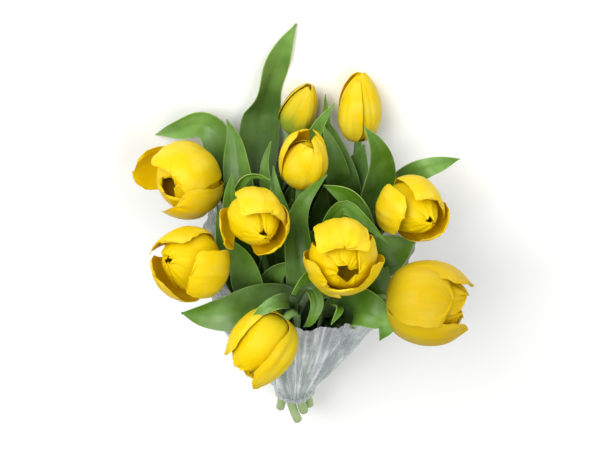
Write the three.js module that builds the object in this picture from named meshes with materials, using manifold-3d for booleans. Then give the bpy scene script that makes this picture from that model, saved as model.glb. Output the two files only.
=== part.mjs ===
// Ten yellow tulips in a translucent film sleeve, lying on a table.
//
// The bunch is drawn standing: x to the right, y to the back, z up along the stems, with the tie
// at the origin. The group is then laid on its back, blooms towards +Y and +Z up, in millimetres.
import * as THREE from 'three';
import Module from 'manifold-3d';

const wasm = await Module();
wasm.setup();

// ---------------------------------------------------------------- driving dimensions
const LEAN = 20;              // degrees that the lying bunch's axis rises above the table
const STEM = { cutRadius: 4.3, radius: 4, topRadius: 3.3, sides: 6, steps: 7, rise: 0.36 };
const SEAT_GAP = 0.3;         // between a stem's top and the bloom that sits on it
const PETAL = { across: { outer: 4, inner: 3 }, along: 5, thick: 1.1, edge: 0.7, foot: 3.2, span: 57,
  lift: { outer: 0.9, inner: 2.7 } };
const HEART = [[0, 4.2], [1.6, 5.8], [4.4, 4.6]];   // height and radius of the knot that petals grow from
const STAMENS = { foot: 4.7, tall: 24, waist: 2.8, stigma: 4, sides: 5, reach: 7, filament: 7, anther: 13 };
const OPEN_BLOOMS = ['d', 'e', 'f', 'g', 'h', 'i', 'j'];   // the blooms with a mouth to see into
const LEAF = { across: 4, along: 8, thick: 1.3, edge: 0.7, widest: 0.5, foot: 11, hug: 3.6, sheath: 16,
  clasp: 80, opens: 0.35, ripples: 5, small: { across: 2, along: 5 } };
const FILM = { neck: 18.4, around: 36, thick: 0.8, pleat: 0.8, straight: 4, swell: 0.2,
  ruffle: 15, ruffleOut: 3, ruffleFold: 1.8,
  rows: [-1, -1e-6, 0, 0.18, 0.42, 0.7, 1] };   // the straight part under the tie is from -1e-6 to 0
const TIE = { inner: 20, thick: 1, wide: 6, sides: 20 };

// The film's rim: at: direction in degrees, out: distance from the axis, up: height above the tie.
const RIM = [
  { at: 0, out: 98, up: 230 }, { at: 14, out: 108, up: 230 }, { at: 45, out: 108, up: 214 },
  { at: 90, out: 113, up: 219 }, { at: 125, out: 118, up: 226 }, { at: 152, out: 88, up: 230 },
  { at: 185, out: 74, up: 224 }, { at: 229, out: 84, up: 226 }, { at: 252, out: 56, up: 230 },
  { at: 286, out: 66, up: 234 }, { at: 307, out: 71, up: 228 }, { at: 321, out: 88, up: 226 },
  { at: 338, out: 72, up: 222 }, { at: 360, out: 98, up: 230 },
];

// One row for each tulip. base: where the bloom meets its stem; faces: the way the bloom points;
// tie: the stem's place in the tie; cut: its lower end; neck: how long the bend under the bloom is, as a
// share of the stem; belly: the bloom's widest radius; outer and inner: the mouth radius of each petal;
// spin: degrees from the bloom's back to its first outer petal, leftwards as seen looking into it.
const TULIPS = [
  { name: 'a', base: [-5, 116, 256], faces: [0.32, 0.276, 0.90], tie: [-4.7, 11.3], cut: [-9, 16, -54],
    neck: 0.25, length: 56, belly: 16.5, outer: [5, 5, 5], inner: [3, 3, 3], spin: 30 },
  { name: 'b', base: [56, 108, 258], faces: [0.0, 0.454, 0.891], tie: [4.7, 11.3], cut: [9, 16, -54],
    neck: 0.25, length: 66, belly: 19.5, outer: [6, 7, 6], inner: [4, 4, 4], spin: 0 },
  { name: 'c', base: [4, 59, 262], faces: [0.1, 0.3, 0.95], tie: [0, 4.3], cut: [1, 6, -30],
    neck: 0.25, length: 58, belly: 22, outer: [8, 8, 10], inner: [5, 5, 5], spin: 40 },
  { name: 'd', base: [-40, 28, 286], faces: [0.29, -0.83, 0.47], tie: [0, -4.3], cut: [-1, -4, -30],
    neck: 0.10, length: 60, belly: 27, outer: [12, 22, 15], inner: [8, 8, 9], spin: 0 },
  { name: 'e', base: [40, -3, 272], faces: [0.07, -0.78, 0.62], tie: [11.3, -4.7], cut: [14, -7, -34],
    neck: 0.12, length: 60, belly: 32, outer: [13, 16, 17], inner: [9, 9, 10], spin: 0 },
  { name: 'f', base: [85, 58, 251], faces: [0.53, -0.72, 0.45], tie: [11.3, 4.7], cut: [15, 7, -38],
    neck: 0.12, length: 58, belly: 28, outer: [12, 16, 12], inner: [8, 8, 8], spin: 10 },
  { name: 'g', base: [82, -37, 241], faces: [0.98, -0.09, -0.05], tie: [4.7, -11.3], cut: [9, -15, -32],
    neck: 0.14, length: 72, belly: 34, outer: [24, 24, 24], inner: [18, 18, 18], spin: 90 },
  { name: 'h', base: [-78, 80, 255], faces: [-0.56, -0.66, 0.485], tie: [-11.3, 4.7], cut: [-15, 7, -40],
    neck: 0.12, length: 64, belly: 33, outer: [30, 17, 14], inner: [11, 10, 10], spin: 55 },
  { name: 'i', base: [-68, -8, 251], faces: [-0.63, -0.43, 0.62], tie: [-11.3, -4.7], cut: [-14, -6, -42],
    neck: 0.14, length: 62, belly: 31, outer: [16, 14, 18], inner: [10, 9, 10], spin: 20 },
  { name: 'j', base: [-3, -66, 264], faces: [-0.64, -0.667, -0.385], tie: [-4.7, -11.3], cut: [3, -17, -48],
    neck: 0.12, length: 68, belly: 28, outer: [18, 17, 20], inner: [13, 12, 12], spin: 190 },
];

// One row for each leaf. stem: the tulip whose stem it grows from; at: how far up that stem, from 0 at
// the tie to 1 at the bloom; through: the points its middle passes, its tip last; width: its widest;
// faces: where its upper side looks; cup: degrees that each half folds up; wave: how far its edges wave.
const LEAVES = [
  { stem: 'a', at: 0.42, through: [[-33, 68, 246], [-32, 101, 256], [-29, 133, 265], [-20, 148, 305],
    [-10, 157, 330], [2, 166, 355]], width: 33, faces: [0.1, -0.5, 0.87], cup: 20, wave: 1.5 },
  { stem: 'h', at: 0.5, through: [[-61, 84, 254], [-70, 106, 277], [-81, 114, 278], [-103, 117, 264],
    [-123, 126.5, 241]], width: 29, faces: [0.1, -0.7, 0.7], cup: 28, wave: 2.5 },
  { stem: 'h', at: 0.58, through: [[-46, 53, 262], [-51, 74, 279], [-56, 92, 288], [-60, 108, 295]],
    width: 19, faces: [-0.3, -0.5, 0.8], cup: 30, wave: 1.5 },
  { stem: 'd', at: 0.66, through: [[-52, 25, 270], [-54, 36, 291], [-52, 49, 303]], small: true,
    width: 9, faces: [0, -0.6, 0.8], cup: 25, wave: 0.5 },
  { stem: 'd', at: 0.74, through: [[-49, 36, 284], [-41, 44, 302], [-31, 46, 303], [-20, 46, 296]],
    small: true, width: 8, faces: [0, -0.9, 0.3], cup: 25, wave: 0.5 },
  { stem: 'c', at: 0.5, through: [[-22, 55, 250], [-25, 75, 274], [-20, 91, 287]], small: true,
    width: 17, faces: [-0.4, -0.5, 0.8], cup: 30, wave: 1.5 },
  { stem: 'a', at: 0.62, through: [[14, 98, 245], [27, 118, 272], [27, 137, 290]], small: true,
    width: 14, faces: [0, -0.5, 0.87], cup: 26, wave: 1 },
  { stem: 'c', at: 0.6, through: [[12, 88, 258], [22, 106, 288], [35, 119, 304]],
    width: 20, faces: [-0.3, -0.5, 0.8], cup: 42, wave: 1.5 },
  { stem: 'b', at: 0.6, through: [[34, 74, 265], [31, 90, 284], [25, 102, 294]], small: true,
    width: 15, faces: [0.3, -0.5, 0.8], cup: 35, wave: 1 },
  { stem: 'b', at: 0.64, through: [[44, 68, 238], [36, 92, 266], [30, 114, 281]],
    width: 30, faces: [0, -0.5, 0.87], cup: 26, wave: 1.5 },
  { stem: 'f', at: 0.5, through: [[66, 44, 226], [71, 62, 244], [75, 76, 269], [70, 84, 291], [60, 92, 308]],
    width: 33, faces: [0.3, -0.5, 0.8], cup: 25, wave: 1.5 },
  { stem: 'f', at: 0.66, through: [[99, 84, 238], [118, 85, 254], [145, 97, 248]],
    width: 22, faces: [0.1, -0.6, 0.8], cup: 28, wave: 2 },
  { stem: 'f', at: 0.62, through: [[56, 34, 248], [47, 42, 274], [25, 49, 283]],
    width: 28, faces: [-0.2, -0.8, 0.6], cup: 28, wave: 1.5 },
  { stem: 'e', at: 0.6, through: [[27, 14, 262], [42, 24, 288], [60, 13, 281], [79, 2, 266]], small: true,
    width: 15, faces: [0.2, -0.5, 0.87], cup: 40, wave: 1 },
  { stem: 'j', at: 0.33, through: [[6, -20, 236], [3, 7, 260], [3, 21, 272], [9, 33, 285], [28, 54, 292]],
    width: 25, faces: [0, -0.5, 0.87], cup: 26, wave: 2 },
  { stem: 'i', at: 0.5, through: [[-38, -18, 222], [-46, -4, 248], [-60, 9, 267]],
    width: 30, faces: [-0.2, -0.4, 0.9], cup: 28, wave: 1.5 },
  { stem: 'j', at: 0.5, through: [[-8, -27, 232], [-31, -39, 241], [-54, -50, 244], [-75, -51, 238],
    [-96, -46, 230]], width: 36, faces: [0, -0.5, 0.87], cup: 22, wave: 2.5 },
  { stem: 'c', at: 0.44, through: [[-20, -4, 207], [-14, -2, 222], [2, 2, 234]], small: true,
    width: 27, faces: [0.1, -0.5, 0.87], cup: 26, wave: 1 },
  { stem: 'g', at: 0.7, through: [[64, 2, 232], [82, 6, 240], [98, 14, 240]],
    width: 30, faces: [0, -0.5, 0.87], cup: 24, wave: 1.5 },
  { stem: 'g', at: 0.5, through: [[50, -40, 230], [64, -50, 241], [78, -60, 237], [73, -68, 222]],
    width: 32, faces: [0.1, -0.5, 0.87], cup: 20, wave: 2.5 },
  { stem: 'j', at: 0.75, through: [[13, -40, 262], [19, -55, 264], [14, -67, 255], [8, -66, 243]],
    small: true, width: 12, faces: [0.2, -0.3, 0.9], cup: 30, wave: 1 },
  { stem: 'j', at: 0.85, through: [[-8, -54, 268], [-22, -57, 273], [-38, -57, 269]], small: true,
    width: 12, faces: [0, -0.2, 0.97], cup: 35, wave: 2 },
  { stem: 'g', at: 0.6, through: [[34, -42, 236], [38, -54, 250], [31, -66, 247]], small: true,
    width: 12, faces: [0.3, -0.3, 0.9], cup: 30, wave: 1.5 },
  { stem: 'c', at: 0.4, through: [[-10, 38, 240], [-16, 58, 259], [-18, 76, 271]], small: true,
    width: 22, faces: [0, -0.5, 0.87], cup: 26, wave: 1 },
  { stem: 'i', at: 0.36, through: [[-56, 10, 216], [-62, 24, 240], [-66, 44, 258]], small: true,
    width: 24, faces: [0.2, -0.5, 0.87], cup: 28, wave: 1.5 },
];

// ---------------------------------------------------------------- small helpers
const rad = THREE.MathUtils.degToRad;
const vec = (p) => new THREE.Vector3(...p);
const smooth = (t) => t * t * (3 - 2 * t);
const wobble = (a, b) => Math.sin(12.9 * a + 78.2 * b + 0.7);   // a repeatable number from -1 to 1

function solidFrom(points, triangles) {
  const vertProperties = new Float32Array(points.flatMap((p) => [p.x, p.y, p.z]));
  const build = (tris) => new wasm.Manifold(
    new wasm.Mesh({ numProp: 3, vertProperties, triVerts: new Uint32Array(tris.flat()) }));
  const made = build(triangles);
  return made.volume() > 0 ? made : build(triangles.map(([a, b, c]) => [a, c, b]));
}

// The joined solid, with any hollow that joining sealed filled and any loose scrap dropped.
function fuse(solids) {
  const pieces = wasm.Manifold.union(solids).decompose();
  return pieces.reduce((best, piece) => (piece.volume() > best.volume() ? piece : best));
}

function geometryFrom(solid) {
  const mesh = solid.getMesh();
  const geometry = new THREE.BufferGeometry();
  geometry.setAttribute('position', new THREE.BufferAttribute(new Float32Array(mesh.vertProperties), 3));
  geometry.setIndex(new THREE.BufferAttribute(new Uint32Array(mesh.triVerts), 1));
  geometry.computeVertexNormals();
  return geometry;
}

// A thin curved blade as one closed solid. place(u, t) is its middle surface, u from -1 to 1 across
// and t from 0 to 1 along, and thick(u, t) its thickness. Both faces are split into triangles alike.
function blade(place, thick, across, along) {
  const step = 1e-3;
  const front = [];
  const back = [];
  for (let j = 0; j <= along; j++) {
    for (let i = 0; i <= across; i++) {
      const u = (2 * i) / across - 1;
      const t = j / along;
      const t0 = Math.min(t, 1 - step);
      const alongWay = place(u, t0 + step).sub(place(u, t0));
      const acrossWay = place(u + step, t0).sub(place(u - step, t0));
      const normal = acrossWay.cross(alongWay).normalize();
      const middle = place(u, t);
      front.push(middle.clone().addScaledVector(normal, thick(u, t) / 2));
      back.push(middle.clone().addScaledVector(normal, -thick(u, t) / 2));
    }
  }
  const half = front.length;
  const at = (i, j) => j * (across + 1) + i;
  const triangles = [];
  for (let j = 0; j < along; j++) {
    for (let i = 0; i < across; i++) {
      const [a, b, c, d] = [at(i, j), at(i + 1, j), at(i + 1, j + 1), at(i, j + 1)];
      triangles.push([a, b, c], [a, c, d]);
      triangles.push([a + half, c + half, b + half], [a + half, d + half, c + half]);
    }
  }
  const rim = [];
  for (let i = 0; i < across; i++) rim.push(at(i, 0));
  for (let j = 0; j < along; j++) rim.push(at(across, j));
  for (let i = across; i > 0; i--) rim.push(at(i, along));
  for (let j = along; j > 0; j--) rim.push(at(0, j));
  rim.forEach((p, k) => {
    const q = rim[(k + 1) % rim.length];
    triangles.push([p, p + half, q + half], [p, q + half, q]);
  });
  return solidFrom([...front, ...back], triangles);
}

// A round bar. rings: for each ring its centre, the way the bar runs there, and its radius.
function bar(rings, sides) {
  const points = [];
  let side = new THREE.Vector3(1, 0, 0);
  for (const { centre, way, radius } of rings) {
    side = side.clone().addScaledVector(way, -side.dot(way)).normalize();
    const other = way.clone().cross(side);
    for (let i = 0; i < sides; i++) {
      const a = (2 * Math.PI * i) / sides;
      points.push(centre.clone().addScaledVector(side, radius * Math.cos(a))
        .addScaledVector(other, radius * Math.sin(a)));
    }
  }
  const triangles = [];
  for (let k = 0; k < rings.length - 1; k++) {
    for (let i = 0; i < sides; i++) {
      const [a, b] = [k * sides + i, k * sides + ((i + 1) % sides)];
      triangles.push([a, b, b + sides], [a, b + sides, a + sides]);
    }
  }
  const last = (rings.length - 1) * sides;
  for (let i = 1; i < sides - 1; i++) triangles.push([0, i + 1, i], [last, last + i, last + i + 1]);
  return solidFrom(points, triangles);
}

// ---------------------------------------------------------------- blooms
// Half-width of a petal along its length, as a share of its widest.
function petalWidth(t) {
  const grow = 0.30 + 0.70 * smooth(Math.min(t / 0.5, 1));
  const s = Math.max(0, (t - 0.55) / 0.45);
  return grow * Math.max(0.06, (1 - s ** 2.6) ** 0.62);
}

// The middle surface of one petal, in the bloom's own frame: base at the origin, +z to the tip.
function petalSurface(tulip, whorl, k) {
  const inner = whorl === 'inner';
  const mouth = tulip[whorl][k];
  const inset = inner ? 0.12 * tulip.belly - 0.4 : 0;
  const belly = tulip.belly - inset;
  const height = tulip.length * (inner ? 0.97 : 1) + 2 * wobble(k + 1, tulip.belly);
  const foot = PETAL.foot - (inner ? 1 : 0);
  const lift = PETAL.lift[whorl];
  const profile = new THREE.CubicBezierCurve(
    new THREE.Vector2(foot, lift),
    new THREE.Vector2(1.30 * belly, lift),
    new THREE.Vector2(1.10 * belly + 0.18 * mouth, 0.70 * height),
    new THREE.Vector2(mouth, height));
  const turn = rad(tulip.spin + 120 * k + (inner ? 60 : 0));
  const width = Math.min(1.02 * tulip.belly, 15 + 0.33 * tulip.belly);
  const flare = inner ? -0.8 : 0.9;
  return (u, t) => {
    const { x: r, y: z } = profile.getPoint(t);
    const half = Math.min(rad(PETAL.span), (width * petalWidth(t)) / r);
    const a = turn + u * half;
    const top = smooth(Math.max(0, (t - 0.45) / 0.55));
    const keel = 0.5 * (1 - Math.abs(u)) ** 2 * Math.sin(Math.PI * t);
    const out = r + keel + flare * top * u * u * (1 + 0.6 * wobble(k, u > 0 ? 3 : 5));
    return new THREE.Vector3(out * Math.cos(a), out * Math.sin(a), z);
  };
}

function petalSolid(tulip, whorl, k) {
  const thick = (u, t) => THREE.MathUtils.lerp(PETAL.thick, PETAL.edge, Math.max(t, u * u));
  return blade(petalSurface(tulip, whorl, k), thick, PETAL.across[whorl], PETAL.along);
}

function bloomSolid(tulip) {
  const up = new THREE.Vector3(0, 0, 1);
  const heart = bar(HEART.map(([z, radius]) => ({ centre: vec([0, 0, z]), way: up, radius })), 6);
  const petals = ['outer', 'inner'].flatMap((whorl) => [0, 1, 2].map((k) => petalSolid(tulip, whorl, k)));
  return fuse([heart, ...petals]);
}

// The pistil and the six stamens round it, in the bloom's own frame.
function stamensSolid(tulip) {
  const { foot, tall, waist, stigma, sides, reach, filament, anther } = STAMENS;
  const up = new THREE.Vector3(0, 0, 1);
  const column = [[foot, waist], [tall - 3, waist], [tall, stigma]];
  const pistil = bar(column.map(([z, radius]) => ({ centre: vec([0, 0, z]), way: up, radius })), sides);
  const ring = [0, 1, 2, 3, 4, 5].map((k) => {
    const turn = rad(tulip.spin + 60 * k + 30);
    const at = (out, z) => vec([out * Math.cos(turn), out * Math.sin(turn), z]);
    const centres = [at(1, foot + 1), at(reach, foot + filament), at(reach + 1, foot + filament + anther)];
    const way = centres[2].clone().sub(centres[0]).normalize();
    return bar(centres.map((centre, j) => ({ centre, way, radius: [0.8, 1.7, 0.9][j] })), 3);
  });
  return fuse([pistil, ...ring]);
}

// ---------------------------------------------------------------- stems
// The middle line of a stem from the tie up to the bloom.
function stemLine(tulip) {
  const foot = vec([...tulip.tie, 0]);
  const faces = vec(tulip.faces).normalize();
  const top = vec(tulip.base).addScaledVector(faces, -SEAT_GAP);
  const reach = top.distanceTo(foot);
  return new THREE.CubicBezierCurve3(
    foot,
    foot.clone().add(new THREE.Vector3(0, 0, STEM.rise * reach)),
    top.clone().addScaledVector(faces, -tulip.neck * reach),
    top);
}

function stemSolid(tulip) {
  const line = stemLine(tulip);
  const foot = vec([...tulip.tie, 0]);
  const cut = vec(tulip.cut);
  const tail = new THREE.QuadraticBezierCurve3(cut, new THREE.Vector3(foot.x, foot.y, cut.z / 2), foot);
  const rings = [0, 0.5].map((t) => (
    { centre: tail.getPoint(t), way: tail.getTangent(t), radius: STEM.cutRadius }));
  for (let k = 0; k <= STEM.steps; k++) {
    const t = k / STEM.steps;
    const radius = THREE.MathUtils.lerp(STEM.radius, STEM.topRadius, t);
    rings.push({ centre: line.getPoint(t), way: line.getTangent(t), radius });
  }
  return bar(rings, STEM.sides);
}

// ---------------------------------------------------------------- leaves
// Half-width of a leaf along its length, as a share of its widest: it clasps the stem, swells and
// tapers to a fine tip.
function leafWidth(t, foot) {
  if (t < LEAF.widest) return THREE.MathUtils.lerp(foot, 1, smooth(t / LEAF.widest));
  const s = (t - LEAF.widest) / (1 - LEAF.widest);
  return Math.max(0.04, 1 - s ** 2.1);
}

function leafSurface(leaf, index) {
  const tulip = TULIPS.find(({ name }) => name === leaf.stem);
  const curve = stemLine(tulip);
  const root = curve.getPoint(leaf.at);
  const along = curve.getTangent(leaf.at);
  const next = vec(leaf.through[0]).sub(root);
  const outward = next.addScaledVector(along, -next.dot(along)).normalize();
  const foot = root.clone().addScaledVector(outward, LEAF.hug);
  const sheath = foot.clone().addScaledVector(along, LEAF.sheath);
  const path = new THREE.CatmullRomCurve3([foot, sheath, ...leaf.through.map(vec)], false, 'centripetal');
  const upper = vec(leaf.faces).normalize();
  return (u, t) => {
    const middle = path.getPointAt(t);
    const way = path.getTangentAt(t);
    const opened = smooth(Math.min(1, t / LEAF.opens));
    const face = outward.clone().multiplyScalar(-1).lerp(upper, opened);
    face.addScaledVector(way, -face.dot(way)).normalize();
    const side = way.clone().cross(face);
    const half = (leaf.width / 2) * leafWidth(t, LEAF.foot / leaf.width);
    const fold = THREE.MathUtils.lerp(rad(LEAF.clasp), rad(leaf.cup), opened);
    const radius = half / fold;
    const ripple = leaf.wave * Math.sin(LEAF.ripples * Math.PI * t + index + (u > 0 ? 1.3 : 0));
    const lift = radius * (1 - Math.cos(u * fold)) + ripple * u * u * opened * Math.min(1, 4 * (1 - t));
    return middle.addScaledVector(face, lift).addScaledVector(side, radius * Math.sin(u * fold));
  };
}

function leafSolid(leaf, index) {
  const thick = (u, t) => THREE.MathUtils.lerp(LEAF.thick, LEAF.edge, Math.max(u * u, t ** 3));
  const { across, along } = leaf.small ? LEAF.small : LEAF;
  return blade(leafSurface(leaf, index), thick, across, along);
}

// A stem with the leaves that grow from it, as one solid.
function leafyStemSolid(tulip) {
  const own = LEAVES.map((leaf, k) => [leaf, k]).filter(([leaf]) => leaf.stem === tulip.name);
  return fuse([stemSolid(tulip), ...own.map(([leaf, k]) => leafSolid(leaf, k))]);
}

// ---------------------------------------------------------------- film sleeve and tie
// The film's radius and height at its rim for a direction in degrees, 0 to the right, 90 to the back.
function rimAt(angle) {
  const turn = ((angle % 360) + 360) % 360;
  const next = RIM.findIndex((row) => row.at > turn);
  const a = RIM[next - 1];
  const b = RIM[next];
  const s = smooth((turn - a.at) / (b.at - a.at));
  return { out: THREE.MathUtils.lerp(a.out, b.out, s), up: THREE.MathUtils.lerp(a.up, b.up, s) };
}

// The film's middle surface: below the tie it runs out in a short ruffle, above it widens to the rim.
// rise goes from -1 at the ruffle's edge through 0 at the tie to 1 at the rim, k counts the pleats.
function filmPoint(angle, rise, k) {
  const rim = rimAt(angle);
  const pleat = k % 2 ? 1 : -1;
  const a = rad(angle);
  const at = (r, z) => new THREE.Vector3(r * Math.cos(a), r * Math.sin(a), z);
  if (rise < 0) {
    const fold = THREE.MathUtils.lerp(FILM.pleat, FILM.ruffleFold, -rise);
    return at(FILM.neck + FILM.ruffleOut * -rise + pleat * fold,
      THREE.MathUtils.lerp(-FILM.straight, -FILM.ruffle, -rise));
  }
  const share = THREE.MathUtils.lerp(rise, Math.sin((Math.PI / 2) * rise), FILM.swell);
  const fold = FILM.pleat * (1 + 1.5 * Math.sin(Math.PI * rise));
  return at(THREE.MathUtils.lerp(FILM.neck, rim.out, share) + pleat * fold,
    THREE.MathUtils.lerp(FILM.straight, rim.up, rise));
}

function filmSolid() {
  const { rows, around: n } = FILM;
  const outer = [];
  const inner = [];
  rows.forEach((rise) => {
    for (let k = 0; k < n; k++) {
      const middle = filmPoint((360 * k) / n, rise, k);
      const away = new THREE.Vector3(middle.x, middle.y, 0).normalize();
      outer.push(middle.clone().addScaledVector(away, FILM.thick / 2));
      inner.push(middle.clone().addScaledVector(away, -FILM.thick / 2));
    }
  });
  const half = outer.length;
  const triangles = [];
  for (let j = 0; j < rows.length - 1; j++) {
    for (let k = 0; k < n; k++) {
      const [a, b] = [j * n + k, j * n + ((k + 1) % n)];
      triangles.push([a, b, b + n], [a, b + n, a + n]);
      triangles.push([a + half, b + n + half, b + half], [a + half, a + n + half, b + n + half]);
    }
  }
  const top = (rows.length - 1) * n;
  for (let k = 0; k < n; k++) {
    const q = (k + 1) % n;
    triangles.push([k, k + half, q + half], [k, q + half, q]);
    triangles.push([top + k, top + q, top + q + half], [top + k, top + q + half, top + k + half]);
  }
  return solidFrom([...outer, ...inner], triangles);
}

// The tape wound round the gathered film: a flat ring with bevelled edges.
function tieGeometry() {
  const { inner, thick, wide } = TIE;
  const outer = inner + thick;
  const section = [[inner, -wide / 2], [outer, -0.4 * wide], [outer, 0.4 * wide], [inner, wide / 2],
    [inner, -wide / 2]];
  const geometry = new THREE.LatheGeometry(section.map(([r, y]) => new THREE.Vector2(r, y)), TIE.sides);
  return geometry.rotateX(Math.PI / 2);
}

// ---------------------------------------------------------------- the bunch
const petalYellow = new THREE.MeshStandardMaterial({ color: 0xf6d313, roughness: 0.55, metalness: 0 });
const leafGreen = new THREE.MeshStandardMaterial({ color: 0x4c7a2c, roughness: 0.5, metalness: 0 });
const antherDark = new THREE.MeshStandardMaterial({ color: 0x2a1a2e, roughness: 0.7, metalness: 0 });
const tapeGrey = new THREE.MeshStandardMaterial({ color: 0xcfd4dc, roughness: 0.3, metalness: 0 });
const filmGrey = new THREE.MeshStandardMaterial({ color: 0xdfe6ea, roughness: 0.15, metalness: 0 });

const bunch = new THREE.Group();

function add(name, geometry, material, parent = bunch) {
  const mesh = new THREE.Mesh(geometry, material);
  mesh.name = name;
  parent.add(mesh);
  return mesh;
}

// A bloom's own frame: z the way it points, x towards the back of the bunch.
function bloomTurn(tulip) {
  const z = vec(tulip.faces).normalize();
  const x = new THREE.Vector3(0, 1, 0).addScaledVector(z, -z.y).normalize();
  const axes = new THREE.Matrix4().makeBasis(x, z.clone().cross(x), z);
  return new THREE.Quaternion().setFromRotationMatrix(axes);
}

for (const tulip of TULIPS) {
  const bloom = add(`bloom_${tulip.name}`, geometryFrom(bloomSolid(tulip)), petalYellow);
  bloom.position.set(...tulip.base);
  bloom.quaternion.copy(bloomTurn(tulip));
  if (OPEN_BLOOMS.includes(tulip.name)) {
    const stamens = add(`stamens_${tulip.name}`, geometryFrom(stamensSolid(tulip)), antherDark);
    stamens.position.copy(bloom.position);
    stamens.quaternion.copy(bloom.quaternion);
  }
  add(`stem_${tulip.name}`, geometryFrom(leafyStemSolid(tulip)), leafGreen);
}

add('sleeve', geometryFrom(filmSolid()), filmGrey);
add('tie', tieGeometry(), tapeGrey);

// Lay the bunch on its back and stand it on the middle of its box's underside.
bunch.rotation.x = rad(LEAN - 90);
const box = new THREE.Box3().setFromObject(bunch, true);
const middle = box.getCenter(new THREE.Vector3());
bunch.position.set(-middle.x, -middle.y, -box.min.z);

const part = new THREE.Group();
part.add(bunch);
export default part;
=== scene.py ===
from bisect import bisect_right
from functools import partial
import math
import bpy
from mathutils import Matrix, Vector, noise


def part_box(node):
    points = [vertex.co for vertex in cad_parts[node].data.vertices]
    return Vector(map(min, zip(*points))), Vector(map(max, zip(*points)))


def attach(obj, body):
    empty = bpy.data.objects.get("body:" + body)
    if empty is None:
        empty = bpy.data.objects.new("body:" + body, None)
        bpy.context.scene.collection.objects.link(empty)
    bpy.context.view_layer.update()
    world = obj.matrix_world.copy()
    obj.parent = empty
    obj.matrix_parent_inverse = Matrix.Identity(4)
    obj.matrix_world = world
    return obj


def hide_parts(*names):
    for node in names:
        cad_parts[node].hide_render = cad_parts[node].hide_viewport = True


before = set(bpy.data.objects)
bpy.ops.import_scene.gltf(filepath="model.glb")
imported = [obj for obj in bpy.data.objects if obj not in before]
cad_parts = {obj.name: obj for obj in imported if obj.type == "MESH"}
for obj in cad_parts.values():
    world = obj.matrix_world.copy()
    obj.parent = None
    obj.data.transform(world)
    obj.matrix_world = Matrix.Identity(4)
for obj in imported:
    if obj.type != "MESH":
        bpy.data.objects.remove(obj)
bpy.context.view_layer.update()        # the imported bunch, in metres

# The bunch is worked out standing: x to the right, y to the back, z up along the stems, in
# millimetres, with the tie at the origin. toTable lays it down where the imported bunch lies.
# rise: degrees that the stems' axis rises from the table; lowest: what keeps a leaf on the table;
# offAxis: degrees between the stems' axis and the camera's line, which ends at aim, distance away.
layout = {"rise": 20, "lowest": 0.6, "offAxis": 30, "distance": 1800, "aim": (5, 0, 300), "lens": 129.6}
tieLow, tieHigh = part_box("tie")
toTable = (Matrix.Translation((tieLow + tieHigh) / 2)
           @ Matrix.Rotation(math.radians(layout["rise"] - 90), 4, "X") @ Matrix.Scale(0.001, 4))


def rad(degrees):
    return math.radians(degrees)


def mix(a, b, share):
    return a + (b - a) * share


def smooth(t):
    t = min(max(t, 0.0), 1.0)
    return t * t * (3 - 2 * t)


def hump(x, wide):
    return math.exp(-(x / wide) ** 2)   # 1 at x = 0, fading to nothing at about twice wide


def wobble(a, b):
    return math.sin(12.9 * a + 78.2 * b + 0.7)   # a repeatable number from -1 to 1


def ripple(x, y, z):
    return noise.noise(Vector((x, y, z)))   # a soft repeatable number, about -1 to 1


def bezier(points, t):
    a, b, c, d = points
    s = 1 - t
    return a * s ** 3 + 3 * b * s * s * t + 3 * c * s * t * t + d * t ** 3


def hexColour(code):
    parts = [int(code[i:i + 2], 16) / 255 for i in (1, 3, 5)]
    return [c / 12.92 if c <= 0.04045 else ((c + 0.055) / 1.055) ** 2.4 for c in parts] + [1.0]


def setInputs(material, node, inputs):
    for key, value in inputs.items():
        if isinstance(value, bpy.types.NodeSocket):
            material.node_tree.links.new(value, node.inputs[key])
        else:
            node.inputs[key].default_value = value


# Adds a node with its settings and its inputs, each a value or a link, and gives its output to link.
def addNode(material, kind, inputs=None, out=0, **settings):
    node = material.node_tree.nodes.new("ShaderNode" + kind)
    for key, value in settings.items():
        setattr(node, key, value)
    setInputs(material, node, inputs or {})
    return node.outputs[out]


# A new material with its shader, and addNode for it.
def newMaterial(name):
    material = bpy.data.materials.new(name)
    material.use_nodes = True
    return material, material.node_tree.nodes["Principled BSDF"], partial(addNode, material)


def selectOnly(*pieces):
    bpy.ops.object.select_all(action="DESELECT")
    for piece in pieces:
        piece.select_set(True)
    if pieces:
        bpy.context.view_layer.objects.active = pieces[0]


def freshObject(name):
    piece = bpy.context.object
    piece.name = piece.data.name = name
    return piece


def giveMaterials(piece, *materials):
    for material in materials:
        piece.data.materials.append(material)


# Gives a sheet its thickness. Its under side takes the material that many slots on.
def addWall(piece, thick, under=0):
    selectOnly(piece)
    wall = piece.modifiers.new("wall", "SOLIDIFY")
    wall.thickness, wall.offset, wall.material_offset = thick / 1000, 0, under
    bpy.ops.object.modifier_apply(modifier=wall.name)


# A grid primitive whose points are put where place(u, t) says, in the standing bunch's millimetres:
# u runs across from -1 to 1 and t along from 0 to 1. marks gives each point numbers for its material.
def bladeFromGrid(name, place, across, along, marks=None):
    selectOnly()
    bpy.ops.mesh.primitive_grid_add(x_subdivisions=across, y_subdivisions=along, size=2, calc_uvs=True)
    blade = freshObject(name)
    spots = [(v.co.x, (v.co.y + 1) / 2) for v in blade.data.vertices]
    for vertex, (u, t) in zip(blade.data.vertices, spots):
        vertex.co = toTable @ place(u, t)
        vertex.co.z = max(vertex.co.z, layout["lowest"] / 1000)
    for mark, value in (marks or {}).items():
        layer = blade.data.attributes.new(mark, "FLOAT", "POINT")
        for i, (u, t) in enumerate(spots):
            layer.data[i].value = value(u, t) if callable(value) else value
    return blade


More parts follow.
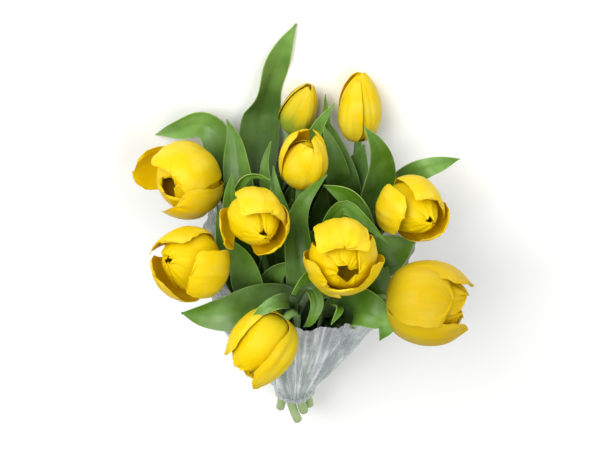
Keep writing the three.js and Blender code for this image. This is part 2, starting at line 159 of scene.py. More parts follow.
# A round rod through spots, in the frame that turn gives, with a radius in millimetres at each spot.
def roundBar(name, spots, radii, sides, turn):
    selectOnly()
    path = bpy.data.curves.new(name, "CURVE")
    path.dimensions, path.bevel_depth, path.bevel_resolution = "3D", 1.0, sides // 2 - 1
    path.use_fill_caps = True
    spline = path.splines.new("POLY")
    spline.points.add(len(spots) - 1)
    for point, spot, radius in zip(spline.points, spots, radii):
        point.co = (*(toTable @ turn @ spot), 1)
        point.radius = radius / 1000
    bar = bpy.data.objects.new(name, path)
    bpy.context.scene.collection.objects.link(bar)
    selectOnly(bar)
    bpy.ops.object.convert(target="MESH")
    return freshObject(name)


def joinPieces(name, parts):
    selectOnly(*parts)
    bpy.ops.object.join()
    return freshObject(name)


def finishPiece(piece, node, crease=50):
    selectOnly(piece)
    bpy.ops.object.shade_smooth_by_angle(angle=rad(crease))
    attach(piece, "root")
    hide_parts(node)


# One entry for each tulip. base: where the bloom meets its stem; faces: the way the bloom points;
# tie: the stem's place in the tie; cut: its lower end; neck: how long the bend under the bloom is,
# as a share of the stem; length: the bloom's; belly: its widest radius; spin: degrees from the
# bloom's back to its first outer petal. A bloom may be young (greener all over), green (at its
# feet and ribs) or deep (painted shade: its petals painted a darker gold all over, for a bloom that
# lies in shade), and a stem pale (bleached at its cut end), from 0 to 1.
# outer and inner shape the three petals of a whorl, and outer0 to inner2 one petal. mouth: its
# tip's radius; turn: degrees round; long and width: shares of its size; span: its most degrees to
# each side; shoulder: how far up it stays wide; blunt: how square its tip is; curl: its tip's bend
# out; lean: its tip's shift; belly: more radius; frill: how ragged it is; notch: a dip in its tip.
tulips = {
    "a": {
        "base": (-3, 119.5, 260), "faces": (0.32, 0.276, 0.9), "tie": (-4.7, 11.3), "cut": (-9, 16, -54),
        "neck": 0.25, "length": 53, "belly": 15.8, "spin": 30, "young": 0.22, "pale": 0.95, "green": 1.3,
        "outer": {"mouth": 2.5, "span": 62, "blunt": 2.2, "frill": 0.5}, "outer0": {"long": 1.03},
        "outer2": {"turn": -8}, "inner": {"mouth": 1.2, "long": 0.98, "blunt": 2.2, "frill": 0.5}},
    "b": {
        "base": (56, 109.5, 261), "faces": (0.0, 0.454, 0.891), "tie": (4.7, 11.3), "cut": (9, 16, -54),
        "neck": 0.25, "length": 66, "belly": 19.5, "spin": 0, "pale": 0.5, "green": 0.12,
        "outer": {"mouth": 3, "blunt": 2.2, "frill": 0.5}, "outer1": {"turn": 9, "long": 0.95},
        "outer2": {"turn": 13}, "inner": {"mouth": 1.5, "long": 1.04, "blunt": 2.2, "frill": 0.5}},
    "c": {
        "base": (5.5, 62, 265), "faces": (0.1, 0.3, 0.95), "tie": (0, 4.3), "cut": (1, 6, -30),
        "neck": 0.25, "length": 55, "belly": 20.8, "spin": 40,
        "outer": {"mouth": 6, "shoulder": 0.86, "blunt": 6, "frill": 1},
        "outer0": {"turn": 12, "long": 1.0, "width": 1.12, "span": 66, "notch": 1},
        "outer1": {"mouth": 8, "turn": -4, "long": 0.84, "blunt": 6, "lean": (0, -4)},
        "outer2": {"mouth": 7, "turn": -12, "long": 0.95},
        "inner": {"mouth": 1, "long": 0.86, "shoulder": 0.8, "frill": 0.8}},
    "d": {
        "base": (-40, 28, 286), "faces": (0.29, -0.83, 0.47), "tie": (0, -4.3), "cut": (-1, -4, -30),
        "neck": 0.1, "length": 60, "belly": 24.8, "spin": 0,
        "outer0": {"mouth": 17, "turn": 4, "long": 0.84, "width": 1.12, "span": 66, "shoulder": 0.8,
                   "blunt": 8, "curl": 1.5, "frill": 1.8},
        "outer1": {"mouth": 29, "turn": 22, "long": 0.56, "width": 0.74, "blunt": 3, "curl": 2,
                   "frill": 1.2},
        "outer2": {"mouth": 14, "turn": 16, "width": 1.12, "shoulder": 0.8, "blunt": 5, "frill": 1.5},
        "inner0": {"mouth": 4.5, "turn": 26, "long": 0.92, "width": 1.05, "frill": 2},
        "inner1": {"mouth": 1.5, "turn": -14, "frill": 2},
        "inner2": {"mouth": 2.5, "turn": 14, "blunt": 5, "frill": 1.8}},
    "e": {
        "base": (38.5, -3, 272), "faces": (0.07, -0.78, 0.62), "tie": (11.3, -4.7), "cut": (14, -7, -34),
        "neck": 0.12, "length": 60, "belly": 32, "spin": 0,
        "outer0": {"mouth": 19, "turn": 7, "long": 0.97, "width": 0.94, "span": 58, "shoulder": 0.8,
                   "blunt": 8, "curl": 1.5, "frill": 1.8, "notch": 5},
        "outer1": {"mouth": 19, "turn": 12, "long": 0.9, "width": 0.9, "blunt": 5, "frill": 1.6},
        "outer2": {"mouth": 17, "turn": -26, "width": 1.25, "span": 72, "blunt": 6, "frill": 1.4},
        "inner0": {"mouth": 8, "turn": 66, "long": 0.92, "frill": 1.6},
        "inner1": {"mouth": 11, "turn": 76, "blunt": 5, "frill": 1.6},
        "inner2": {"mouth": 5, "turn": 48, "long": 1.02, "width": 1.2, "blunt": 5, "frill": 1.6}},
    "f": {
        "base": (86, 57, 251), "faces": (0.53, -0.72, 0.45), "tie": (11.3, 4.7), "cut": (15, 7, -38),
        "neck": 0.12, "length": 58, "belly": 26.2, "spin": 10,
        "outer0": {"mouth": 16, "turn": -10, "long": 0.86, "width": 1.12, "span": 66, "shoulder": 0.8,
                   "blunt": 8, "curl": 1.5, "frill": 1.8},
        "outer1": {"mouth": 24, "turn": -14, "long": 0.8, "width": 0.88, "blunt": 4, "frill": 1.4},
        "outer2": {"mouth": 15, "turn": 8, "width": 1.12, "blunt": 5, "frill": 1.5},
        "inner0": {"mouth": 4.5, "turn": 30, "long": 0.94, "frill": 2},
        "inner1": {"mouth": 2, "turn": 6, "frill": 2},
        "inner2": {"mouth": 3, "turn": 20, "blunt": 5, "frill": 2}},
    "g": {
        "base": (77, -37.5, 241), "faces": (0.98, -0.09, -0.05), "tie": (4.7, -11.3), "cut": (9, -15, -32),
        # g lies in shade: its deep paints its petals a darker gold, painted shade
        "neck": 0.14, "length": 72, "belly": 34, "spin": 90, "deep": 0.45,
        "outer": {"frill": 1.6},
        "outer0": {"mouth": 27, "turn": 20, "long": 0.74, "width": 1.0, "blunt": 4.5, "belly": 3},
        "outer1": {"mouth": 22, "turn": -15, "long": 1.0, "width": 1.1, "blunt": 2.8, "curl": -3},
        "outer2": {"mouth": 22, "turn": 66, "long": 1.03, "width": 1.1, "blunt": 2.6, "curl": -4,
                   "belly": -0.5},
        "inner": {"blunt": 3.2, "frill": 2.6}, "inner0": {"mouth": 15, "turn": -14, "long": 0.9},
        "inner1": {"mouth": 14, "turn": -20, "long": 0.96},
        "inner2": {"mouth": 15, "turn": 48, "long": 0.97, "width": 1.1}},
    "h": {
        "base": (-78, 80, 255), "faces": (-0.56, -0.66, 0.485), "tie": (-11.3, 4.7), "cut": (-15, 7, -40),
        "neck": 0.12, "length": 64, "belly": 33, "spin": 55,
        "outer0": {"mouth": 45, "turn": -8, "long": 0.66, "width": 0.86, "span": 56, "shoulder": 0.62,
                   "blunt": 3, "belly": -3, "frill": 1.8},
        "outer1": {"mouth": 17, "turn": 10, "width": 1.12, "blunt": 4.5, "lean": (2, -3), "frill": 1.6},
        "outer2": {"mouth": 19, "turn": 2, "long": 0.94, "width": 1.24, "span": 70, "shoulder": 0.8,
                   "blunt": 6, "lean": (1, -3), "frill": 1.5},
        "inner": {"long": 0.92, "width": 1.25, "span": 84, "lean": (3, -6), "frill": 1.8},
        "inner0": {"mouth": 10, "turn": 2}, "inner1": {"mouth": 8, "turn": 6},
        "inner2": {"mouth": 9, "turn": 16, "long": 0.88, "blunt": 4.5}},
    "i": {
        "base": (-69.5, -8, 251), "faces": (-0.63, -0.43, 0.62), "tie": (-11.3, -4.7),
        "cut": (-14, -6, -42), "neck": 0.14, "length": 62, "belly": 31, "spin": 20,
        "outer0": {"mouth": 19, "turn": -26, "long": 0.92, "width": 1.02, "blunt": 6, "curl": 2,
                   "frill": 1.8},
        "outer1": {"mouth": 9, "turn": -32, "long": 1.08, "width": 1.06, "blunt": 3.4, "curl": -2,
                   "frill": 1.8},
        "outer2": {"mouth": 22, "turn": -31, "long": 0.8, "width": 0.92, "blunt": 6, "frill": 1.3},
        "inner": {"long": 0.94, "lean": (5, -3), "frill": 1.8}, "inner0": {"mouth": 4, "turn": -12},
        "inner1": {"mouth": 3.5, "turn": -8, "width": 1.12},
        "inner2": {"mouth": 4, "turn": 10, "width": 1.12}},
    "j": {
        "base": (-6.5, -67, 262), "faces": (-0.64, -0.667, -0.385), "tie": (-4.7, -11.3),
        "cut": (3, -17, -48), "neck": 0.12, "length": 66, "belly": 27.6, "spin": 190, "pale": 0.8,
        "outer0": {"mouth": 18, "turn": -27, "long": 0.97, "width": 0.94, "blunt": 2.8, "belly": -1.5,
                   "frill": 1.6},
        "outer1": {"mouth": 19, "turn": 10, "long": 0.86, "width": 0.98, "blunt": 3, "belly": -1.5,
                   "frill": 1.8},
        "outer2": {"mouth": 17, "long": 0.92, "belly": -1.5}, "inner": {"blunt": 2.8, "frill": 2.2},
        "inner0": {"mouth": 11, "long": 0.93, "width": 1.1, "belly": -1},
        "inner1": {"mouth": 11, "long": 0.94, "belly": -1},
        "inner2": {"mouth": 10, "long": 0.91, "belly": -1}}
}
openBlooms = "defghij"   # the blooms with a mouth to see into


# Materials. Inputs 1 to 4 of a MapRange are from low, from high, to low and to high, and 0, 6 and 7
# of a Mix are the share and its two colours.
petalFinish = {"IOR": 1.42, "Specular IOR Level": 0.2, "Subsurface Weight": 0.3,
               "Subsurface Radius": (1.0, 0.75, 0.06), "Subsurface Scale": 0.0022}


# Tulip petal, outside, grown: waxy, creamy yellow in patches of about 14 mm, with fine veins along
# it, a vein each 0.8 mm of a petal about 50 mm wide, and a greener rib from the foot. A bloom that
# lies in shade gets its petals painted a darker gold all over: painted shade.
def petalOutsideMaterial():
    look = {"body": "#DCBA00", "cream": "#DCC640", "gold": "#CC9800", "shadedGold": "#A88400", "green": "#84942A",
            "veins": (60, 2.2, 1), "patches": 70.0}
    material, shader, add = newMaterial("tulipPetalOutside")
    marks = ("whorl", "blush", "seed", "deep")
    whorl, blush, seed, deep = (add("Attribute", out="Fac", attribute_name=mark) for mark in marks)
    uv = add("TexCoord", out="UV")
    stretched = add("Mapping", {"Vector": uv, "Scale": look["veins"]})
    shifted = add("VectorMath", {0: stretched, 1: seed}, operation="ADD")
    veins = add("TexNoise", {"Vector": shifted, "Scale": 1.0, "Detail": 2.0, "Roughness": 0.6})
    place = add("TexCoord", out="Object")
    patches = add("TexNoise", {"Vector": place, "Scale": look["patches"], "Detail": 2.0})
    creamy = add("MapRange", {0: patches, 1: 0.42, 2: 0.76, 3: 0.0, 4: 0.75})
    outerOnly = add("Math", {0: creamy, 1: whorl}, operation="MULTIPLY")
    veined = add("MapRange", {0: veins, 1: 0.5, 2: 0.8, 3: 0.0, 4: 0.35})
    colour = hexColour(look["body"])
    # deep mixes in a darker gold all over the bloom: painted shade for a bloom that lies in shade
    for share, tint in ((outerOnly, "cream"), (veined, "gold"), (deep, "shadedGold"), (blush, "green")):
        colour = add("Mix", {0: share, 6: colour, 7: hexColour(look[tint])}, out=2, data_type="RGBA")
    bump = add("Bump", {"Height": veins, "Strength": 0.35, "Distance": 0.0004})
    setInputs(material, shader, {"Base Color": colour, "Roughness": 0.48, "Normal": bump, **petalFinish})
    return material


# Tulip petal, inside, grown: smoother and deeper yellow, duller towards its foot.
def petalInsideMaterial():
    look = {"body": "#DEBA00", "gold": "#CE9A00", "foot": "#B8A41A", "veins": (60, 2.2, 1)}
    material, shader, add = newMaterial("tulipPetalInside")
    uv = add("TexCoord", out="UV")
    stretched = add("Mapping", {"Vector": uv, "Scale": look["veins"]})
    veins = add("TexNoise", {"Vector": stretched, "Scale": 1.0, "Detail": 2.0})
    veined = add("MapRange", {0: veins, 1: 0.5, 2: 0.8, 3: 0.0, 4: 0.4})
    along = add("SeparateXYZ", {"Vector": uv}, out="Y")
    footward = add("MapRange", {0: along, 1: 0.02, 2: 0.25, 3: 1.0, 4: 0.0})
    colour = hexColour(look["body"])
    for share, tint in ((veined, "gold"), (footward, "foot")):
        colour = add("Mix", {0: share, 6: colour, 7: hexColour(look[tint])}, out=2, data_type="RGBA")
    bump = add("Bump", {"Height": veins, "Strength": 0.3, "Distance": 0.0004})
    setInputs(material, shader, {"Base Color": colour, "Roughness": 0.42, "Normal": bump, **petalFinish})
    return material


# Tulip leaf, grown: parallel veins, one each 1 mm of a leaf 34 mm wide, a waxy bluish bloom in
# patches of about 30 mm, a thin pale margin, and dark shade towards its foot.
def leafMaterial(name, look):
    material, shader, add = newMaterial(name)
    uv = add("TexCoord", out="UV")
    stretched = add("Mapping", {"Vector": uv, "Scale": (34, 1.2, 1)})
    veins = add("TexNoise", {"Vector": stretched, "Scale": 1.0, "Detail": 3.0, "Roughness": 0.6})
    veined = add("MapRange", {0: veins, 1: 0.45, 2: 0.75, 3: 0.0, 4: 0.5})
    place = add("TexCoord", out="Object")
    patches = add("TexNoise", {"Vector": place, "Scale": 32.0, "Detail": 3.0})
    patchy = add("MapRange", {0: patches, 1: 0.42, 2: 0.7, 3: 0.0, 4: 0.7})
    waxy, footward = (add("Attribute", out="Fac", attribute_name=mark) for mark in ("waxy", "footward"))
    waxed = add("Math", {0: patchy, 1: waxy}, operation="ADD", use_clamp=True)
    across = add("SeparateXYZ", {"Vector": uv}, out="X")
    fromMiddle = add("MapRange", {0: across, 1: 0.0, 2: 1.0, 3: -1.0, 4: 1.0})
    edgeward = add("Math", {0: fromMiddle}, operation="ABSOLUTE")
    edged = add("MapRange", {0: edgeward, 1: 0.95, 2: 0.99, 3: 0.0, 4: 0.5})
    colour = hexColour(look["body"])
    for share, tint in ((waxed, "wax"), (veined, "vein"), (edged, "margin"), (footward, "foot")):
        colour = add("Mix", {0: share, 6: colour, 7: hexColour(look[tint])}, out=2, data_type="RGBA")
    bump = add("Bump", {"Height": veins, "Strength": 0.5, "Distance": 0.0005})
    setInputs(material, shader, {"Base Color": colour, "Roughness": look["roughness"], "IOR": 1.45,
                                 "Normal": bump, "Specular IOR Level": 0.4, "Subsurface Weight": 0.15,
                                 "Subsurface Radius": (0.5, 1.0, 0.2), "Subsurface Scale": 0.0012})
    return material


# Tulip stem, grown: smooth and matt with faint streaks of about 1 by 17 mm along it, bleached from
# just above the tie to near the cut ends, where paleFrom and paleTo are, in metres on the table.
def stemMaterial():
    look = {"body": "#5F8C38", "streak": "#82A858", "bleached": "#B4C492", "paleFrom": -0.150,
            "paleTo": -0.205}
    material, shader, add = newMaterial("tulipStem")
    place = add("TexCoord", out="Object")
    stretched = add("Mapping", {"Vector": place, "Scale": (900, 60, 900)})
    streaks = add("TexNoise", {"Vector": stretched, "Scale": 1.0, "Detail": 2.0})
    streaked = add("MapRange", {0: streaks, 1: 0.4, 2: 0.7, 3: 0.0, 4: 0.7})
    along = add("SeparateXYZ", {"Vector": place}, out="Y")
    low = add("MapRange", {0: along, 1: look["paleFrom"], 2: look["paleTo"], 3: 0.15, 4: 1.0})
    pale = add("Attribute", out="Fac", attribute_name="pale")
    paled = add("Math", {0: low, 1: pale}, operation="MULTIPLY")
    colour = hexColour(look["body"])
    for share, tint in ((streaked, "streak"), (paled, "bleached")):
        colour = add("Mix", {0: share, 6: colour, 7: hexColour(look[tint])}, out=2, data_type="RGBA")
    bump = add("Bump", {"Height": streaks, "Strength": 0.25, "Distance": 0.0003})
    setInputs(material, shader, {"Base Color": colour, "Roughness": 0.45, "IOR": 1.42, "Normal": bump,
                                 "Subsurface Weight": 0.25, "Subsurface Radius": (0.6, 1.0, 0.3),
                                 "Subsurface Scale": 0.003})
    return material


# Anther: dusted with pollen, dull and nearly black. Pistil: waxy pale green. Both are grainy; the
# grain is finer than can be seen, so it is drawn 0.7 mm coarse.
def stamenMaterial(name, low, high, roughness):
    material, shader, add = newMaterial(name)
    place = add("TexCoord", out="Object")
    grain = add("TexNoise", {"Vector": place, "Scale": 1500.0, "Detail": 2.0})
    colour = add("Mix", {0: grain, 6: hexColour(low), 7: hexColour(high)}, out=2, data_type="RGBA")
    bump = add("Bump", {"Height": grain, "Strength": 0.5, "Distance": 0.0002})
    setInputs(material, shader, {"Base Color": colour, "Roughness": roughness, "Normal": bump})
    return material


# Plastic film, blown thin and creased by hand: milky and glossy, with creases that run out from the
# tie, one each 9 mm of the rim, others that cross them each 14 mm, and haze in patches of 40 mm.
# The creases are painted near white in the colour light: painted highlights, as glossy creases
# show them. Adhesive tape is the same kind of film, greyer and clearer, with a crease each 2 mm
# round it, painted with the same highlights.
def filmMaterial(name, look):
    material, shader, add = newMaterial(name)
    uv = add("TexCoord", out="UV")
    stretched = add("Mapping", {"Vector": uv, "Scale": look["creases"]})
    creases = add("TexNoise", {"Vector": stretched, "Scale": 1.0, "Detail": 4.0, "Roughness": 0.65,
                               "Distortion": 0.3})
    turned = add("Mapping", {"Vector": uv, "Rotation": (0, 0, look["slant"]), "Scale": (46, 3.5, 1)})
    crossing = add("TexNoise", {"Vector": turned, "Scale": 1.0, "Detail": 3.0})
    either = add("Math", {0: creases, 1: crossing}, operation="MAXIMUM")
    # streaks: where the creases lie, the film is painted with highlight; elsewhere it keeps its milky grey
    streaks = add("MapRange", {0: either, 1: 0.48, 2: 0.66, 3: 0.0, 4: 1.0})
    colour = add("Mix", {0: streaks, 6: hexColour(look["dark"]), 7: hexColour(look["light"])}, out=2,
                 data_type="RGBA")
    place = add("TexCoord", out="Object")
    haze = add("TexNoise", {"Vector": place, "Scale": 24.0, "Detail": 2.0})
    hazy = add("Math", {0: haze, 1: creases}, operation="MULTIPLY")
    alpha = add("MapRange", {0: hazy, 1: 0.12, 2: 0.42, 3: look["thin"], 4: look["dense"]})
    bump = add("Bump", {"Height": either, "Strength": 0.7, "Distance": 0.0014})
    setInputs(material, shader, {"Base Color": colour, "Roughness": 0.14, "IOR": 1.49, "Alpha": alpha,
                                 "Normal": bump})
    return material


petalMaterials = [petalOutsideMaterial(), petalInsideMaterial()]
leafMaterials = [
    leafMaterial("tulipLeafUpper", {"body": "#4A7214", "wax": "#7EA856", "vein": "#5E8224",
                                    "margin": "#A8C470", "foot": "#101F0A", "roughness": 0.36}),
    leafMaterial("tulipLeafUnder", {"body": "#5A7E2A", "wax": "#96B274", "vein": "#6C8C3C",
                                    "margin": "#A8C470", "foot": "#142412", "roughness": 0.44})]
stemGreen = stemMaterial()
antherPurple = stamenMaterial("pollenAnther", "#1C1018", "#3A2430", 0.85)
pistilGreen = stamenMaterial("waxyPistil", "#B9C25A", "#D9DB8C", 0.45)
# light: the painted highlight along the creases; dark: the film's own milky grey
filmMilky = filmMaterial("creasedFilm", {"dark": "#A8B6BA", "light": "#FAFFFF", "thin": 0.3,
                                         "dense": 0.84, "creases": (74, 1.1, 1), "slant": 0.5})
tapeMilky = filmMaterial("adhesiveTape", {"dark": "#9EA4AE", "light": "#E6EAF0", "thin": 0.3,
                                          "dense": 0.7, "creases": (60, 3, 1), "slant": 0.2})
print("materials made")


# Blooms, in two whorls of three petals. foot and lift: where a petal starts; long, belly and
# shoulder: shares of the tulip's own sizes; gap: what its belly has more; span: the most degrees
# that it reaches to each side; lap: how far one edge lies over the next petal; flare: how far its
# top edges bend out; cream: 1 for cream patches. rib to cup are how strong each unevenness is, and
# footWide to tipRound give a petal's outline.
petal = {
    "outer": {"across": 28, "along": 38, "foot": 3.2, "lift": 0.9, "long": 1, "belly": 1, "gap": 0,
              "shoulder": 0.70, "span": 60, "turn": 0, "lap": 1.3, "flare": 0.5, "seed": 0, "cream": 1},
    "inner": {"across": 24, "along": 34, "foot": 2.2, "lift": 2.7, "long": 0.95, "belly": 0.88,
              "gap": 0.4, "shoulder": 0.74, "span": 72, "turn": 60, "lap": 1.04, "flare": -0.8,
              "seed": 5, "cream": 0},
    "thick": 0.5, "rib": 0.45, "ribWide": 0.07, "dents": 1.5, "folds": 1.1, "frill": 1.2,
    "ragged": 0.07, "cup": 0.5, "footWide": 0.30, "wideBy": 0.5, "tipFrom": 0.55, "tipWide": 0.06,
    "tipRound": 0.62}


# A petal's width, as a share of its most: it widens from the foot and rounds off at the tip.
def petalWidth(t, blunt):
    s = max(0.0, (t - petal["tipFrom"]) / (1 - petal["tipFrom"]))
    tip = max(petal["tipWide"], (1 - s ** blunt) ** petal["tipRound"])
    return mix(petal["footWide"], 1, smooth(t / petal["wideBy"])) * tip


# The middle of one petal's thickness, in the bloom's own frame: foot at the origin, z to the tip.
def petalPlace(tulip, whorl, k):
    shape = petal[whorl]
    touch = {**tulip.get(whorl, {}), **tulip.get(f"{whorl}{k}", {})}
    belly = tulip["belly"] * shape["belly"] + shape["gap"] + touch.get("belly", 0)
    height = (tulip["length"] * shape["long"] + 2 * wobble(k + 1, tulip["belly"])) * touch.get("long", 1)
    shoulder = touch.get("shoulder", shape["shoulder"]) * height
    # the profile from foot to tip: out low down, up the belly, in to the mouth
    line = [Vector((shape["foot"], shape["lift"])), Vector((1.30 * belly, shape["lift"])),
            Vector((1.10 * belly + 0.18 * touch["mouth"], shoulder)), Vector((touch["mouth"], height))]
    turn = rad(tulip["spin"] + 120 * k + shape["turn"] + touch.get("turn", 0))
    width = min(1.02 * tulip["belly"], 15 + 0.33 * tulip["belly"]) * touch.get("width", 1.04)
    widest = rad(touch.get("span", shape["span"]))
    seed = 10 * k + shape["seed"] + tulip["belly"]
    frill = petal["frill"] * touch.get("frill", 1)
    lean = Vector((*touch.get("lean", (0, 0)), 0))

    def place(u, t):
        r, z = bezier(line, t)
        top = smooth((t - 0.45) / 0.55)
        bulge = math.sin(math.pi * t)
        ragged = 1 + petal["ragged"] * touch.get("frill", 1) * smooth((t - 0.5) / 0.3) * ripple(
            seed + 4 * u, 11 * t, seed)
        half = min(widest, width * petalWidth(t, touch.get("blunt", 3.0)) / max(r, 4.0)) * ragged
        uneven = 1 + 0.6 * wobble(k, 3 if u > 0 else 5)
        out = r + petal["cup"] * (1 - abs(u)) ** 2 * bulge + shape["flare"] * top * u * u * uneven
        out += shape["lap"] * u * smooth(t / 0.3)   # one edge lies over the next petal's
        out -= petal["rib"] * hump(u, petal["ribWide"]) * bulge
        out += petal["dents"] * ripple(1.6 * u + seed, 2.2 * t, seed) * bulge
        out += petal["folds"] * ripple(4.2 * u + seed, 1.1 * t + seed, 3.3) * bulge * smooth(t / 0.5)
        out += frill * top * abs(u) ** 3 * ripple(seed, 9 * t, 3 * u)
        z += frill * top * t ** 4 * ripple(5 * u + seed, seed, 1.7) * 1.6
        z -= touch.get("notch", 0) * hump(u, 0.35) * smooth((t - 0.6) / 0.4)
        curl = touch.get("curl", 0) * smooth((t - 0.66) / 0.34) ** 2
        out += curl
        z -= 0.6 * abs(curl)
        a = turn + u * half
        return Vector((out * math.cos(a), out * math.sin(a), z)) + lean * smooth(t) * t
    return place


# The bloom's own frame in the standing bunch: z the way it faces, x as near to the back as can be.
def bloomTurn(tulip):
    z = Vector(tulip["faces"]).normalized()
    x = Vector((0, 1, 0))
    x = (x - z * z.y).normalized()
    turn = Matrix((x, z.cross(x), z)).transposed().to_4x4()
    return Matrix.Translation(tulip["base"]) @ turn


def makePetal(tulip, whorl, k):
    turn, place, shape = bloomTurn(tulip), petalPlace(tulip, whorl, k), petal[whorl]
    young, green = tulip.get("young", 0.0), tulip.get("green", 0.2)

    def blush(u, t):   # green at the foot and up the rib
        return min(1.0, young + green * (1.6 * (1 - smooth(t / 0.7)) + 0.5 * hump(u, 0.16) * (1 - t)))

    # deep carries a bloom's painted shade, a darker gold, to each petal
    blade = bladeFromGrid(f"petal{k}", lambda u, t: turn @ place(u, t), shape["across"], shape["along"],
                          {"whorl": shape["cream"], "seed": 7 * k + 3 * shape["cream"],
                           "deep": tulip.get("deep", 0.0), "blush": blush})
    giveMaterials(blade, *petalMaterials)
    # the grid's upper side faces in or out by how the blade runs
    middle = blade.data.polygons[len(blade.data.polygons) // 2]
    axis = (toTable @ turn).inverted() @ middle.center
    outward = (toTable @ turn).to_3x3() @ Vector((axis.x, axis.y, 0))
    if middle.normal.dot(outward) < 0:
        blade.data.flip_normals()
    addWall(blade, petal["thick"], under=1)
    return blade


def makeBloom(name, tulip):
    petals = [makePetal(tulip, whorl, k) for whorl in ("outer", "inner") for k in range(3)]
    finishPiece(joinPieces(f"bloom{name.upper()}", petals), f"bloom_{name}")


# Stamens and pistil, in rods. A row of lobe or filament is how far out, how far up (from the pistil's
# top for a lobe of its stigma, from its foot for a filament) and the radius. A row of pistil is
# shares of its height and waist, and one of anther a share of its length and the radius.
stamen = {
    "foot": 4.7, "tall": 24, "waist": 2.5,
    "pistil": ((0, 0.85), (0.25, 1), (0.6, 1.05), (0.82, 0.9), (0.9, 1.1), (0.96, 1.4), (1, 0.9)),
    "lobe": ((0, -1.2, 1.0), (2.2, -0.5, 1.3), (3.4, -1.8, 0.6)),
    "filament": ((1.2, 1, 0.9), (4.6, 4, 0.8), (7, 7, 0.5)),
    "anther": ((0, 0.5), (0.08, 1.3), (0.3, 1.75), (0.6, 1.7), (0.9, 1.2), (1, 0.4)), "antherLong": 13}


def makeStamens(name, tulip):
    turn = bloomTurn(tulip)
    foot, tall = stamen["foot"], stamen["tall"]

    def addRod(kind, degrees, rows, sides, *materials):
        a = rad(tulip["spin"] + degrees)
        side = Vector((math.cos(a), math.sin(a), 0))
        rod = roundBar(kind, [side * out + Vector((0, 0, up)) for out, up, _ in rows],
                       [thick for _, _, thick in rows], sides, turn)
        giveMaterials(rod, *materials)
        return rod

    column = [(0, mix(foot, tall, s), stamen["waist"] * wide) for s, wide in stamen["pistil"]]
    parts = [addRod("pistil", 0, column, 16, pistilGreen, antherPurple)]
    lobe = [(out, tall + up, thick) for out, up, thick in stamen["lobe"]]
    parts += [addRod("lobe", 120 * k, lobe, 10, pistilGreen) for k in range(3)]
    filament = [(out, foot + up, thick) for out, up, thick in stamen["filament"]]
    out, up, _ = filament[-1]
    anther = [(out + s, up + stamen["antherLong"] * s, thick) for s, thick in stamen["anther"]]
    for k in range(6):
        parts.append(addRod("filament", 60 * k + 30, filament, 8, pistilGreen))
        parts.append(addRod("anther", 60 * k + 30, anther, 10, antherPurple))
    finishPiece(joinPieces(f"stamens{name.upper()}", parts), f"stamens_{name}")


# Stems. straight: the share of its length that leaves the tie straight up; seat: how far it goes
# into the bloom; tail: the points from the cut end to the tie, with the cut's edge worn round.
stemShape = {"cutRadius": 4.3, "radius": 4, "topRadius": 3.3, "straight": 0.36, "seat": 2.2, "steps": 44,
             "sides": 18, "tail": (0, 0.012, 0.2, 0.4, 0.6, 0.8), "worn": 0.9, "uneven": 0.1}


def stemLine(tulip):
    foot = Vector((*tulip["tie"], 0))
    faces = Vector(tulip["faces"]).normalized()
    top = Vector(tulip["base"]) + faces * stemShape["seat"]
    reach = (top - foot).length
    return [foot, foot + Vector((0, 0, stemShape["straight"] * reach)),
            top - faces * tulip["neck"] * reach, top]


def makeStem(tulip):
    line = stemLine(tulip)
    foot = line[0]
    cut = Vector(tulip["cut"])
    bend = Vector((foot.x, foot.y, cut.z / 2))
    spots = [cut * (1 - s) ** 2 + bend * 2 * s * (1 - s) + foot * s * s for s in stemShape["tail"]]
    radii = [stemShape["cutRadius"] * (stemShape["worn"] if s == 0 else 1) for s in stemShape["tail"]]
    for k in range(stemShape["steps"] + 1):
        t = k / stemShape["steps"]
        spots.append(bezier(line, t))
        radii.append(mix(stemShape["radius"], stemShape["topRadius"], t)
                     + stemShape["uneven"] * ripple(6 * t, foot.x, foot.y))
    stem = roundBar("stem", spots, radii, stemShape["sides"], Matrix.Identity(4))
    giveMaterials(stem, *leafMaterials, stemGreen)
    for face in stem.data.polygons:
        face.material_index = 2
    pale = stem.data.attributes.new("pale", "FLOAT", "POINT")
    for mark in pale.data:
        mark.value = tulip.get("pale", 0.72)
    return stem


